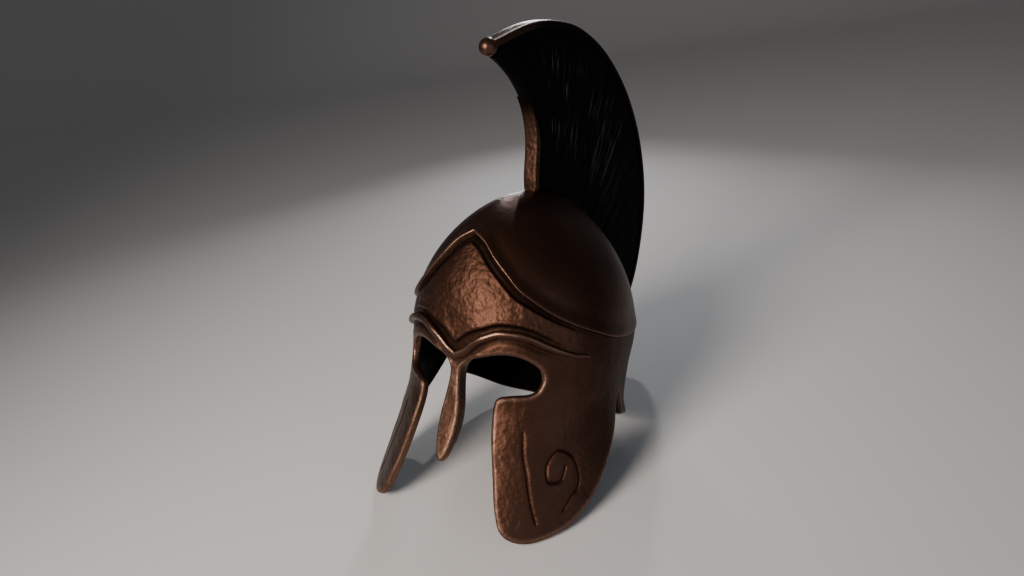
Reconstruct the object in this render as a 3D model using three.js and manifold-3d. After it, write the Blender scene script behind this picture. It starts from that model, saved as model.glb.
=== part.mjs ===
// A bronze helmet of the ancient Greek kind: a domed crown over one sheet that forms the brow, the nasal,
// two long cheek guards and the neck guard, with a double-arched brow moulding and a tall hooked crest.
//
// Millimetres. The helmet is shaped upright round its own axis: x to the wearer's left, -y to the face,
// z up from the level of the temples. It is then leaned back on to its cheek guards and neck rim, as it
// rests on a table, with the origin at the middle of its foot.
import * as THREE from "three";
import { mergeVertices } from "three/addons/utils/BufferGeometryUtils.js";
import Module from "manifold-3d";

const { lerp, smoothstep, degToRad } = THREE.MathUtils;
const wasm = await Module();
wasm.setup();

// The head form
const halfWidth = 100; // half the width at the temples
const frontReach = 95; // from the axis to the brow
const backReach = 126; // from the axis to the back of the skull
const crownHeight = 127; // from the temples to the top of the crown
const faceDepth = 139; // from the temples to the lowest edge of the cheek guards

// Walls and reliefs
const wall = 3.2; // crown and neck guard
const guardWall = 7; // brow and cheek guards, whose free edges are thick
const nasalWall = 12; // nasal, at its root
const nasalTipWall = 7; // and at its tip
const lipProud = 3.2; // the crown's lip over the brow panel
const lipBehind = 0.4; // share of it left round the back
const lipRoll = 8; // how far up the crown the lip fades out
const neckFlare = 3.8; // the neck guard's rim turns out
const neckRoll = 11; // how far up the neck the flare fades out
const seat = 0.3; // gap between pieces that touch
const lipJoint = 0.6; // groove between the lip and the brow panel, at its narrowest
const sliver = 0.03; // cuts leave no facet thinner than this

// The nasal, the brow moulding and the crest
const nasalHalfWidth = 9.6; // at its widest
const mouldingHeight = 7; // across the bead
const mouldingProud = 4.6; // how far it stands off the brow
const crestReach = 236; // from the axis to the back of the crest
const crestTop = 275; // from the temples to the top of the crest
const plumeThickness = 12.2; // in the grooves between two locks
const lockDepth = 0.9; // how far a lock swells on each side
const lockCount = 26;
const rimWidth = 15.6; // across the crest
const rimDepth = 6.5;
const knobRadius = 7.7;
const knobDrop = 6; // the knob's centre under the start of the rim
const bandWidth = 15.6; // across the crest
const bandDepth = 5.5;

// Below the temples: half width over the cheeks and round the neck, front and back of the level section,
// as shares of the three reaches. The cheek guards spread and run forward as they go down.
const faceSections = [
  { down: -0.25, cheek: 1.0, neck: 1.0, front: 1.0, back: 1.0 },
  { down: 0.0, cheek: 1.0, neck: 1.0, front: 1.0, back: 1.0 },
  { down: 0.25, cheek: 1.006, neck: 0.963, front: 1.063, back: 0.906 },
  { down: 0.5, cheek: 1.079, neck: 0.949, front: 1.193, back: 0.809 },
  { down: 0.75, cheek: 1.188, neck: 0.958, front: 1.345, back: 0.71 },
  { down: 1.0, cheek: 1.274, neck: 0.991, front: 1.548, back: 0.606 },
  { down: 1.1, cheek: 1.294, neck: 1.01, front: 1.66, back: 0.563 },
];
// Above the temples each reach shrinks by a power of the cosine of the height angle.
const domePower = { side: 1.57, front: 0.754, back: 0.729 };

// The crown's lower edge: height as a share of crownHeight, at an angle from the front.
const lipRows = [
  { angle: 0, height: 0.787 },
  { angle: 10, height: 0.732 },
  { angle: 20, height: 0.622 },
  { angle: 28, height: 0.528 },
  { angle: 34, height: 0.449 },
  { angle: 41, height: 0.386 },
  { angle: 50, height: 0.307 },
  { angle: 60, height: 0.236 },
  { angle: 71, height: 0.173 },
  { angle: 90, height: 0.079 },
  { angle: 115, height: 0.028 },
  { angle: 180, height: 0.0 },
];

// The hem of the face sheet: the cheek guard's foot and rear edge, the notch under the ear, the neck rim.
const hemRows = [
  { angle: 0, down: 0.99 },
  { angle: 33, down: 0.994 },
  { angle: 38, down: 1.0 },
  { angle: 45, down: 0.982 },
  { angle: 52, down: 0.947 },
  { angle: 58.4, down: 0.891 },
  { angle: 64.8, down: 0.813 },
  { angle: 70.7, down: 0.732 },
  { angle: 77.2, down: 0.63 },
  { angle: 82.5, down: 0.545 },
  { angle: 86.5, down: 0.482 },
  { angle: 90, down: 0.415 },
  { angle: 94, down: 0.35 },
  { angle: 97.5, down: 0.318 },
  { angle: 100.5, down: 0.335 },
  { angle: 103, down: 0.41 },
  { angle: 105.5, down: 0.47 },
  { angle: 109, down: 0.505 },
  { angle: 115, down: 0.54 },
  { angle: 124, down: 0.595 },
  { angle: 135, down: 0.655 },
  { angle: 145, down: 0.685 },
  { angle: 160, down: 0.708 },
  { angle: 180, down: 0.715 },
];

// The open eye, from its inner corner over the top and round to the cheek guard's upper corner,
// then down the guard's front edge and round its foot.
const openingRows = [
  { angle: 3.4, down: 0.071 },
  { angle: 5.3, down: 0.044 },
  { angle: 10.1, down: 0.005 },
  { angle: 16.7, down: -0.02 },
  { angle: 24.9, down: -0.039 },
  { angle: 32.7, down: -0.034 },
  { angle: 39.5, down: -0.001 },
  { angle: 44.3, down: 0.042 },
  { angle: 45.9, down: 0.09 },
  { angle: 45.6, down: 0.127 },
  { angle: 43.2, down: 0.173 },
  { angle: 39.4, down: 0.195 },
  { angle: 33, down: 0.2 },
  { angle: 26, down: 0.209 },
  { angle: 23.4, down: 0.224 },
  { angle: 22.3, down: 0.25 },
  { angle: 21.8, down: 0.34 },
  { angle: 22.3, down: 0.47 },
  { angle: 23.8, down: 0.643 },
  { angle: 24.8, down: 0.768 },
  { angle: 25.8, down: 0.85 },
  { angle: 27.2, down: 0.922 },
  { angle: 29.6, down: 0.965 },
  { angle: 33.4, down: 0.993 },
  { angle: 38, down: 1.003 },
  { angle: 42, down: 1.04 },
];

// The nasal's half width, from its tip up, as a share of nasalHalfWidth.
const nasalRows = [
  { down: 0.622, half: 0.0 },
  { down: 0.612, half: 0.25 },
  { down: 0.596, half: 0.42 },
  { down: 0.551, half: 0.68 },
  { down: 0.46, half: 0.94 },
  { down: 0.38, half: 1.0 },
  { down: 0.3, half: 0.92 },
  { down: 0.215, half: 0.72 },
  { down: 0.15, half: 0.57 },
  { down: 0.1, half: 0.52 },
];

// The upper edge of the brow moulding.
const mouldingRows = [
  { angle: 0, height: 0.034 },
  { angle: 4.4, height: 0.058 },
  { angle: 10, height: 0.117 },
  { angle: 16.6, height: 0.165 },
  { angle: 25, height: 0.197 },
  { angle: 33, height: 0.191 },
  { angle: 40.5, height: 0.165 },
  { angle: 48, height: 0.118 },
  { angle: 54, height: 0.083 },
  { angle: 62, height: 0.043 },
  { angle: 70, height: 0.017 },
];
const mouldingEnd = 70; // degrees from the front

// The crest's strands, each from a root inside the crown to its tip on the outer edge. Root: shares of
// backReach and crownHeight. Tip: shares of crestReach and crestTop.
const strandRows = [
  { rootY: 0.12, rootZ: 0.88, tipY: -0.195, tipZ: 0.928 },
  { rootY: 0.25, rootZ: 0.88, tipY: 0.03, tipZ: 0.986 },
  { rootY: 0.4, rootZ: 0.85, tipY: 0.22, tipZ: 1.0 },
  { rootY: 0.54, rootZ: 0.78, tipY: 0.4, tipZ: 0.98 },
  { rootY: 0.67, rootZ: 0.64, tipY: 0.6, tipZ: 0.905 },
  { rootY: 0.77, rootZ: 0.45, tipY: 0.79, tipZ: 0.77 },
  { rootY: 0.83, rootZ: 0.24, tipY: 0.93, tipZ: 0.59 },
  { rootY: 0.85, rootZ: 0.05, tipY: 1.0, tipZ: 0.385 },
  { rootY: 0.84, rootZ: -0.08, tipY: 0.985, tipZ: 0.185 },
  { rootY: 0.82, rootZ: -0.18, tipY: 0.905, tipZ: 0.0 },
  { rootY: 0.79, rootZ: -0.27, tipY: 0.75, tipZ: -0.135 },
  { rootY: 0.77, rootZ: -0.31, tipY: 0.6, tipZ: -0.17 },
  { rootY: 0.74, rootZ: -0.34, tipY: 0.45, tipZ: -0.18 },
];

// The crest's front edge, from the crown up to the tip of the hook: shares of crestReach and crestTop.
const frontEdgeRows = [
  { y: 0.071, z: 0.4 },
  { y: 0.064, z: 0.47 },
  { y: 0.063, z: 0.52 },
  { y: 0.071, z: 0.59 },
  { y: 0.067, z: 0.65 },
  { y: 0.046, z: 0.712 },
  { y: 0.015, z: 0.76 },
  { y: -0.025, z: 0.794 },
  { y: -0.075, z: 0.827 },
  { y: -0.135, z: 0.859 },
  { y: -0.196, z: 0.882 },
];
const bandTop = 0.6; // share of the front edge that the band covers

// A curve through the rows of a table: cubic between two rows, and level at a row where the values turn.
function through(rows, along, value) {
  const at = rows.map((row) => row[along]);
  const of = rows.map((row) => row[value]);
  const rise = at.slice(1).map((next, i) => (of[i + 1] - of[i]) / (next - at[i]));
  const slope = at.map((_, i) => {
    if (i === 0) return rise[0];
    if (i === at.length - 1) return rise[i - 1];
    return rise[i - 1] * rise[i] > 0 ? (2 * rise[i - 1] * rise[i]) / (rise[i - 1] + rise[i]) : 0;
  });
  return (x) => {
    let i = 0;
    while (i < at.length - 2 && x > at[i + 1]) i++;
    const step = at[i + 1] - at[i];
    const t = THREE.MathUtils.clamp((x - at[i]) / step, 0, 1);
    const [t2, t3] = [t * t, t * t * t];
    return (
      of[i] * (2 * t3 - 3 * t2 + 1) +
      of[i + 1] * (3 * t2 - 2 * t3) +
      step * (slope[i] * (t3 - 2 * t2 + t) + slope[i + 1] * (t3 - t2))
    );
  };
}

// Half width, front and back of the head form at a height.
const sectionCheek = through(faceSections, "down", "cheek");
const sectionNeck = through(faceSections, "down", "neck");
const sectionFront = through(faceSections, "down", "front");
const sectionBack = through(faceSections, "down", "back");

function reaches(angle, z) {
  if (z > 0) {
    const cosine = Math.sqrt(Math.max(1 - (z / crownHeight) ** 2, 1e-9));
    return {
      side: halfWidth * cosine ** domePower.side,
      front: frontReach * cosine ** domePower.front,
      back: backReach * cosine ** domePower.back,
    };
  }
  const down = -z / faceDepth;
  const behind = smoothstep(Math.abs(angle), 80, 112);
  return {
    side: halfWidth * lerp(sectionCheek(down), sectionNeck(down), behind),
    front: frontReach * sectionFront(down),
    back: backReach * sectionBack(down),
  };
}

// A point of the head form at an angle from the front (degrees) and a height, moved out along the normal.
function headPoint(angle, z, out) {
  if (z > crownHeight - 1e-6) return new THREE.Vector3(0, 0, crownHeight + out);
  const sin = Math.sin(degToRad(angle));
  const cos = Math.cos(degToRad(angle));
  const section = (height) => {
    const reach = reaches(angle, height);
    return [reach.side, cos > 0 ? reach.front : reach.back];
  };
  const [a, b] = section(z);
  const r = 1 / Math.hypot(sin / a, cos / b);
  const [x, y] = [r * sin, -r * cos];
  const step = 0.01;
  const [a2, b2] = section(z - step);
  const fall = (x * x * (a2 - a)) / a ** 3 + (y * y * (b2 - b)) / b ** 3;
  const normal = new THREE.Vector3(x / a ** 2, y / b ** 2, fall / step).normalize();
  return new THREE.Vector3(x, y, z).addScaledVector(normal, out);
}

const lipShare = through(lipRows, "angle", "height");
const hemShare = through(hemRows, "angle", "down");
const lipHeight = (angle) => crownHeight * lipShare(Math.abs(angle));
const hemHeight = (angle) => -faceDepth * hemShare(Math.abs(angle));

// How far the outside stands off the head form: the crown's lip, and the neck guard's turned-out rim.
const lipRelief = (angle, z) =>
  lipProud *
  lerp(1, lipBehind, smoothstep(Math.abs(angle), 80, 130)) *
  Math.exp(-(((z - lipHeight(angle)) / lipRoll) ** 2));
const neckRelief = (angle, z) =>
  neckFlare *
  smoothstep(Math.abs(angle), 96, 120) *
  Math.exp(-(((z - hemHeight(angle)) / neckRoll) ** 2));

// Where one wall thickness passes into the next: degrees from the front, or heights.
const zones = {
  neckAngles: [90, 104],
  browHeights: [10, 45],
  noseAngles: [7.5, 13],
  noseHeights: [-12, 6],
  noseTipHeights: [-88, -50],
};

// The wall grows from the crown to the thick edges of the face, and again to the nasal.
function thickness(angle, z) {
  const side = Math.abs(angle);
  const face = (1 - smoothstep(side, ...zones.neckAngles)) * (1 - smoothstep(z, ...zones.browHeights));
  const nose = (1 - smoothstep(side, ...zones.noseAngles)) * (1 - smoothstep(z, ...zones.noseHeights));
  const nasal = lerp(nasalTipWall, nasalWall, smoothstep(z, ...zones.noseTipHeights));
  return wall + (guardWall - wall) * face + (nasal - guardWall) * nose;
}

// A closed solid from loose quads and triangles: shared corners are merged and empty triangles dropped.
function solid(points, faces) {
  const loose = new THREE.BufferGeometry();
  loose.setAttribute("position", new THREE.Float32BufferAttribute(points.flatMap((p) => p.toArray()), 3));
  loose.setIndex(faces.flatMap((f) => (f.length === 4 ? [f[0], f[1], f[2], f[0], f[2], f[3]] : f)));
  const merged = mergeVertices(loose, 1e-4);
  const index = merged.index.array;
  const kept = [];
  for (let i = 0; i < index.length; i += 3) {
    const [a, b, c] = index.slice(i, i + 3);
    if (a !== b && b !== c && c !== a) kept.push(a, b, c);
  }
  return new wasm.Manifold(
    new wasm.Mesh({
      numProp: 3,
      vertProperties: new Float32Array(merged.attributes.position.array),
      triVerts: new Uint32Array(kept),
    }),
  );
}

// Columns round the head, in degrees from the front: closer at the nasal and the notch under the ear.
const halfColumns = [0, 2.5, 5, 7.5];
for (let angle = 10; angle < 60; angle += 5) halfColumns.push(angle);
for (let angle = 60; angle < 90; angle += 4) halfColumns.push(angle);
halfColumns.push(91, 94, 97, 100, 103, 106, 110, 116);
for (let angle = 124; angle <= 180; angle += 8) halfColumns.push(angle);
const columns = [...halfColumns, ...halfColumns.slice(1, -1).reverse().map((angle) => -angle)];

// Skins a stack of rings round the head. Rings run from the bottom up.
function ringFaces(ringCount, offset, inward) {
  const n = columns.length;
  const faces = [];
  for (let ring = 0; ring < ringCount - 1; ring++) {
    for (let i = 0; i < n; i++) {
      const j = (i + 1) % n;
      const quad = [i, j, j + n, i + n].map((k) => offset + ring * n + k);
      faces.push(inward ? quad.reverse() : quad);
    }
  }
  return faces;
}

// A shell between two stacks of rings, open below, and above unless the last ring is a point.
function shell(rings, outside, inside) {
  const n = columns.length;
  const points = [
    ...rings.flatMap((share) => columns.map((angle) => outside(angle, share))),
    ...rings.flatMap((share) => columns.map((angle) => inside(angle, share))),
  ];
  const inner = rings.length * n;
  const faces = [...ringFaces(rings.length, 0, false), ...ringFaces(rings.length, inner, true)];
  const lastRing = (rings.length - 1) * n;
  const closed = rings.at(-1) === 1 && outside(0, 1).distanceTo(outside(90, 1)) < 1e-6;
  for (let i = 0; i < n; i++) {
    const j = (i + 1) % n;
    faces.push([j, i, inner + i, inner + j]);
    if (!closed) faces.push([lastRing + i, lastRing + j, inner + lastRing + j, inner + lastRing + i]);
  }
  return solid(points, faces);
}

// Crown rings climb by equal steps of the height angle, from the lip to the top.
const crownRings = [0, 0.05, 0.12, 0.24, 0.4, 0.58, 0.77, 1];
const crownHeightAt = (angle, share, grow = 0) => {
  const low = Math.asin((lipHeight(angle) - grow) / crownHeight);
  return crownHeight * Math.sin(lerp(low, Math.PI / 2, share));
};
// Face rings climb from the hem to just under the lip.
const faceRings = [0, 0.04, 0.09, 0.16, 0.26, 0.38, 0.5, 0.62, 0.74, 0.87, 1];
const faceHeightAt = (angle, share) => lerp(hemHeight(angle), lipHeight(angle) - lipJoint, share);

const crownOutside = (angle, share, grow = 0) => {
  const z = crownHeightAt(angle, share, grow);
  return headPoint(angle, z, lipRelief(angle, z) * (1 - smoothstep(share, 0.5, 0.9)) + grow);
};
const crownInside = (angle, share, grow = 0) =>
  headPoint(angle, crownHeightAt(angle, share, grow), -wall - grow);
const faceOutside = (angle, share, out = 0) => {
  const z = faceHeightAt(angle, share);
  return headPoint(angle, z, neckRelief(angle, z) + out);
};
const faceInside = (angle, share) => {
  const z = faceHeightAt(angle, share);
  return headPoint(angle, z, neckRelief(angle, z) - thickness(angle, z));
};

// The whole outside of the helmet as one filled solid, grown by the seat gap: what stands on the helmet
// is trimmed with it.
function envelope(out) {
  const n = columns.length;
  const points = [
    ...faceRings.flatMap((share) => columns.map((angle) => faceOutside(angle, share, out))),
    ...crownRings.flatMap((share) => columns.map((angle) => crownOutside(angle, share, out))),
  ];
  const ringCount = faceRings.length + crownRings.length;
  const faces = ringFaces(ringCount, 0, false);
  const foot = points.length;
  points.push(new THREE.Vector3(0, 0, hemHeight(180)));
  for (let i = 0; i < n; i++) faces.push([(i + 1) % n, i, foot]);
  return solid(points, faces);
}

const cutterFrom = 0.3; // inside the walls, as a share of halfWidth
const cutterTo = 2.3; // and outside them
// A cutter that pushes an outline of angle and height straight out from the axis.
function radialCutter(outline, mirror) {
  const [near, far] = [halfWidth * cutterFrom, halfWidth * cutterTo];
  const shape = outline.map(({ angle, z }) => new THREE.Vector2(angle, z));
  const clockwise = THREE.ShapeUtils.isClockWise(shape);
  if (clockwise) shape.reverse();
  const place = (p, r) => {
    const turn = degToRad(p.x);
    return new THREE.Vector3(mirror * r * Math.sin(turn), -r * Math.cos(turn), p.y);
  };
  const points = [...shape.map((p) => place(p, far)), ...shape.map((p) => place(p, near))];
  const n = shape.length;
  const faces = [];
  for (const [a, b, c] of THREE.ShapeUtils.triangulateShape(shape, [])) {
    faces.push([a, b, c], [n + c, n + b, n + a]);
  }
  for (let i = 0; i < n; i++) {
    const j = (i + 1) % n;
    faces.push([i, n + i, n + j, j]);
  }
  return solid(points, mirror > 0 ? faces : faces.map((f) => [...f].reverse()));
}

// One side's opening: up the nasal, round the eye, down the cheek guard and back under the nasal.
const nasalHalf = through([...nasalRows].reverse(), "down", "half");
function openingOutline() {
  const outline = [];
  const centre = -0.5; // degrees past the middle, so that both sides' cuts join
  const below = -faceDepth * 1.05;
  const tip = nasalRows[0].down;
  outline.push({ angle: centre, z: below }, { angle: centre, z: -faceDepth * tip - seat });
  const top = nasalRows.at(-1).down;
  const steps = 14;
  const crowding = 1.6; // the steps crowd towards the round tip
  for (let i = 0; i <= steps; i++) {
    const down = lerp(tip, top, (i / steps) ** crowding);
    const z = -faceDepth * down;
    const half = nasalHalfWidth * nasalHalf(down);
    outline.push({ angle: THREE.MathUtils.radToDeg(Math.asin(half / reaches(0, z).front)), z });
  }
  const edge = new THREE.SplineCurve(openingRows.map((row) => new THREE.Vector2(row.angle, row.down)));
  for (const p of edge.getPoints((openingRows.length - 1) * 2)) outline.push({ angle: p.x, z: -faceDepth * p.y });
  outline.push({ angle: openingRows.at(-1).angle, z: below });
  return outline;
}

// Sweeps a closed section along stations. Each station gives its centre and two axes of the section.
function sweep(stations, section) {
  const n = section.length;
  const points = stations.flatMap(({ at, across, out, scale }) =>
    section.map(([u, v]) =>
      at.clone().addScaledVector(across, u * scale[0]).addScaledVector(out, v * scale[1]),
    ),
  );
  const faces = [];
  for (let s = 0; s < stations.length - 1; s++) {
    for (let i = 0; i < n; i++) {
      const j = (i + 1) % n;
      faces.push([s * n + i, s * n + j, (s + 1) * n + j, (s + 1) * n + i]);
    }
  }
  const last = (stations.length - 1) * n;
  for (let i = 1; i < n - 1; i++) faces.push([0, i + 1, i], [last, last + i, last + i + 1]);
  const body = solid(points, faces);
  return body.volume() > 0 ? body : solid(points, faces.map((f) => [...f].reverse()));
}

function makeCrown(grow) {
  return shell(
    crownRings,
    (angle, share) => crownOutside(angle, share, grow),
    (angle, share) => crownInside(angle, share, grow),
  );
}

function makeFaceShell() {
  const outline = openingOutline();
  return shell(faceRings, faceOutside, faceInside)
    .subtract(makeCrown(seat))
    .subtract(radialCutter(outline, 1))
    .subtract(radialCutter(outline, -1));
}

// The bead: a section with a crisp upper edge and a face that falls back below it.
function makeBrowMoulding(trim) {
  const upper = through(mouldingRows, "angle", "height");
  const height = (angle) => crownHeight * upper(Math.abs(angle));
  const section = [
    [0, -0.5],
    [0, 0.75],
    [-0.14, 1],
    [-0.5, 0.86],
    [-0.88, 0.6],
    [-1, 0.3],
    [-1, -0.5],
  ];
  const count = 56;
  const stations = [];
  for (let i = 0; i <= count; i++) {
    const angle = lerp(-mouldingEnd, mouldingEnd, i / count);
    const at = headPoint(angle, height(angle), 0);
    const out = headPoint(angle, height(angle), 1).sub(at);
    const nearby = 0.4; // degrees, to find which way the bead runs
    const along = headPoint(angle + nearby, height(angle + nearby), 0)
      .sub(headPoint(angle - nearby, height(angle - nearby), 0))
      .normalize();
    const taper = lerp(0.45, 1, 1 - smoothstep(Math.abs(angle), mouldingEnd - 26, mouldingEnd));
    const across = new THREE.Vector3().crossVectors(out, along).normalize();
    if (across.z < 0) across.negate();
    stations.push({ at, across, out, scale: [mouldingHeight * taper, mouldingProud * taper] });
  }
  return sweep(stations, section).subtract(trim);
}

// The crest stands in the middle plane, so its curves are points of y and z.
const strandCount = strandRows.length - 1;
const strandTips = new THREE.SplineCurve(
  strandRows.map((row) => new THREE.Vector2(crestReach * row.tipY, crestTop * row.tipZ)),
);
const strandRoots = new THREE.SplineCurve(
  strandRows.map((row) => new THREE.Vector2(backReach * row.rootY, crownHeight * row.rootZ)),
);
const frontEdge = new THREE.SplineCurve(
  frontEdgeRows.map((row) => new THREE.Vector2(crestReach * row.y, crestTop * row.z)),
);

// A strip along a curve of the middle plane, its outer face on the curve and its body behind it.
function crestStrip(curve, from, to, count, width, depth, grow, turn, fade) {
  const section = [
    [-0.5, 1],
    [-0.5, 0.45],
    [-0.4, 0.12],
    [-0.2, 0],
    [0.2, 0],
    [0.4, 0.12],
    [0.5, 0.45],
    [0.5, 1],
  ];
  const stations = [];
  for (let i = 0; i <= count; i++) {
    const share = lerp(from, to, i / count);
    const p = curve.getPoint(share);
    const tangent = curve.getTangent(share);
    const inward = new THREE.Vector3(0, tangent.y * turn, -tangent.x * turn);
    const thin = fade(i / count);
    stations.push({
      at: new THREE.Vector3(0, p.x, p.y).addScaledVector(inward, -grow),
      across: new THREE.Vector3(1, 0, 0),
      out: inward,
      scale: [width * lerp(0.8, 1, thin) + 2 * grow, depth * thin + 2 * grow],
    });
  }
  return sweep(stations, section);
}

// The rounded border and its knob at the tip of the hook.
function makeCrestRim(grow) {
  const strip = crestStrip(strandTips, 0, 1, 54, rimWidth, rimDepth, grow, 1, () => 1);
  const tip = strandTips.getPoint(0);
  const ball = new THREE.SphereGeometry(knobRadius + grow, 14, 8);
  ball.deleteAttribute("normal");
  ball.deleteAttribute("uv");
  ball.translate(0, tip.x, tip.y - knobDrop);
  const corners = ball.attributes.position;
  const points = Array.from({ length: corners.count }, (_, i) => new THREE.Vector3().fromBufferAttribute(corners, i));
  const faces = [];
  for (let i = 0; i < ball.index.count; i += 3) faces.push(Array.from(ball.index.array.slice(i, i + 3)));
  return strip.add(solid(points, faces));
}

// The strip up the foot of the front edge. It thins out towards its upper end.
function makeFrontBand(grow) {
  const fade = (t) => lerp(0.5, 1, 1 - smoothstep(t, 0.7, 1));
  return crestStrip(frontEdge, 0, bandTop, 16, bandWidth, bandDepth, grow, 1, fade);
}

// The plume: strands fused side by side into one body, swelling into locks on both faces.
function makePlume() {
  const across = lockCount * 2;
  const along = 9;
  const behindBand = 2.5; // the band covers the plume's front edge
  const fromEdge = 3; // the strands end inside the rim, which then trims them
  const straight = (s, v) => {
    const tip = strandTips.getPoint(s);
    const tangent = strandTips.getTangent(s);
    tip.add(new THREE.Vector2(tangent.y, -tangent.x).multiplyScalar(fromEdge));
    return strandRoots.getPoint(s).lerp(tip, v);
  };
  const place = (s, v) => {
    const edge = frontEdge.getPoint(v);
    edge.x += behindBand * (1 - smoothstep(v, bandTop, bandTop + 1.5 / along));
    const bend = Math.max(1 - (s * strandCount) / 3, 0) ** 2; // the first strands bend with the front edge
    return straight(s, v).addScaledVector(edge.sub(straight(0, v)), bend);
  };
  const half = (s, v) => {
    const lock = Math.abs(Math.sin(Math.PI * lockCount * s));
    return plumeThickness / 2 + lockDepth * lock * smoothstep(v, 0.05, 0.3);
  };
  const points = [];
  for (const side of [1, -1]) {
    for (let i = 0; i <= across; i++) {
      for (let j = 0; j <= along; j++) {
        const [s, v] = [i / across, j / along];
        const p = place(s, v);
        points.push(new THREE.Vector3(side * half(s, v), p.x, p.y));
      }
    }
  }
  const row = along + 1;
  const other = (across + 1) * row;
  const faces = [];
  for (let i = 0; i < across; i++) {
    for (let j = 0; j < along; j++) {
      const quad = [i * row + j, (i + 1) * row + j, (i + 1) * row + j + 1, i * row + j + 1];
      faces.push(quad, quad.map((k) => k + other).reverse());
    }
    for (const j of [0, along]) {
      const edge = [i * row + j, (i + 1) * row + j];
      const quad = [edge[1], edge[0], edge[0] + other, edge[1] + other];
      faces.push(j === 0 ? quad : quad.reverse());
    }
  }
  for (let j = 0; j < along; j++) {
    for (const i of [0, across]) {
      const edge = [i * row + j, i * row + j + 1];
      const quad = [edge[0], edge[1], edge[1] + other, edge[0] + other];
      faces.push(i === 0 ? quad : quad.reverse());
    }
  }
  const body = solid(points, faces);
  return body.volume() > 0 ? body : solid(points, faces.map((f) => [...f].reverse()));
}

const bronze = { color: 0x6b4030, roughness: 0.42, metalness: 0.85 };
const brightBronze = { color: 0x7d4c37, roughness: 0.36, metalness: 0.85 };
const horsehair = { color: 0x0d0b0a, roughness: 0.75, metalness: 0 };

const trim = envelope(seat);
const bodies = [
  ["crown", makeCrown(0), bronze],
  ["face_shell", makeFaceShell(), bronze],
  ["brow_moulding", makeBrowMoulding(trim), brightBronze],
  ["crest_rim", makeCrestRim(0).subtract(trim), brightBronze],
  ["crest_front_band", makeFrontBand(0).subtract(trim), brightBronze],
  [
    "crest_plume",
    makePlume().subtract(trim).subtract(makeCrestRim(seat)).subtract(makeFrontBand(seat)),
    horsehair,
  ],
];

function mesh(name, body, finish) {
  const { vertProperties, triVerts } = body.simplify(sliver).getMesh();
  const geometry = new THREE.BufferGeometry();
  geometry.setAttribute("position", new THREE.Float32BufferAttribute(vertProperties, 3));
  geometry.setIndex(Array.from(triVerts));
  geometry.computeVertexNormals();
  const piece = new THREE.Mesh(geometry, new THREE.MeshStandardMaterial(finish));
  piece.name = name;
  return piece;
}

// The lean at which the cheek guards and the neck rim touch the table together.
function restLean(face) {
  const corners = face.geometry.attributes.position;
  const lowest = (lean, side) => {
    let low = Infinity;
    for (let i = 0; i < corners.count; i++) {
      const [y, z] = [corners.getY(i), corners.getZ(i)];
      if (y * side > 0) low = Math.min(low, y * Math.sin(lean) + z * Math.cos(lean));
    }
    return low;
  };
  let [back, upright] = [degToRad(-45), 0];
  for (let i = 0; i < 40; i++) {
    const lean = (back + upright) / 2;
    if (lowest(lean, 1) > lowest(lean, -1)) upright = lean;
    else back = lean;
  }
  return (back + upright) / 2;
}

const helmet = new THREE.Group();
helmet.add(...bodies.map(([name, body, finish]) => mesh(name, body, finish)));
helmet.rotation.x = restLean(helmet.getObjectByName("face_shell"));
const box = new THREE.Box3().setFromObject(helmet, true);
helmet.position.set(0, -(box.min.y + box.max.y) / 2, -box.min.z);

const group = new THREE.Group();
group.add(helmet);
export default group;
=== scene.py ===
# %% [markdown]
# # A bronze helmet of the ancient Greek kind
#
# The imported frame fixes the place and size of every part. This lesson builds the looks round it: finer
# surfaces from the same curves, then bronze and horsehair, a floor, lights and a camera.
#
# The helmet is shaped upright, in millimetres: x to the wearer's left, -y to the face, z up from the
# temples. `to_row` then leans it back on to its cheek guards and neck rim and turns it into metres.

import bpy
import numpy as np
from mathutils import Matrix, Vector
from mathutils.geometry import delaunay_2d_cdt


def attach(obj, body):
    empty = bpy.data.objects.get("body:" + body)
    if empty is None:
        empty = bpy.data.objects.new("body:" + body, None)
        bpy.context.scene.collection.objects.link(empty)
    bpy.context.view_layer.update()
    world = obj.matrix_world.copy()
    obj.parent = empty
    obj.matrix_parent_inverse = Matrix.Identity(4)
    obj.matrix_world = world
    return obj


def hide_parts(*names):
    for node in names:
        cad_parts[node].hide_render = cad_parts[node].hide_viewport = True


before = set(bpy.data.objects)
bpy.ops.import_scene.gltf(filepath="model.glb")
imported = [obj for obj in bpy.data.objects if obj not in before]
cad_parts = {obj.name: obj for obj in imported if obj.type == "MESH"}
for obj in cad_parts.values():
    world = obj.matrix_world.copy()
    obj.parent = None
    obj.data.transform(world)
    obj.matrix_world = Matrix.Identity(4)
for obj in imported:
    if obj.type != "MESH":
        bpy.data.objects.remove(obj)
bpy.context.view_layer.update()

# %% [markdown]
# ## Sizes
#
# The driving sizes of the helmet, the same as in the frame, and the lean at which it rests. The last
# ones are the sizes of the fine forms that only this lesson adds, and the places of camera and lamps.

# %% Sizes
HALF_WIDTH = 100.0  # half the width at the temples
FRONT_REACH = 95.0  # from the axis to the brow
BACK_REACH = 126.0  # from the axis to the back of the skull
CROWN_HEIGHT = 127.0  # from the temples to the top of the crown
FACE_DEPTH = 139.0  # from the temples to the foot of the cheek guards
WALL = 3.2  # crown and neck guard
GUARD_WALL = 7.0  # brow and cheek guards
NASAL_WALL = 12.0
NASAL_TIP_WALL = 7.0
LIP_PROUD = 3.2  # the crown's lip over the brow panel
LIP_BEHIND = 0.4  # share of it left round the back
LIP_ROLL = 8.0  # how far up the crown the lip fades out
LIP_JOINT = 0.6  # groove between the lip and the face
NECK_FLARE = 3.8  # the neck guard's rim turns out
NECK_ROLL = 11.0  # how far up the neck the flare fades out
NASAL_HALF_WIDTH = 9.6  # at its widest
MOULDING_HEIGHT = 7.0  # across the bead
MOULDING_PROUD = 4.6  # how far it stands off the brow
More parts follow.
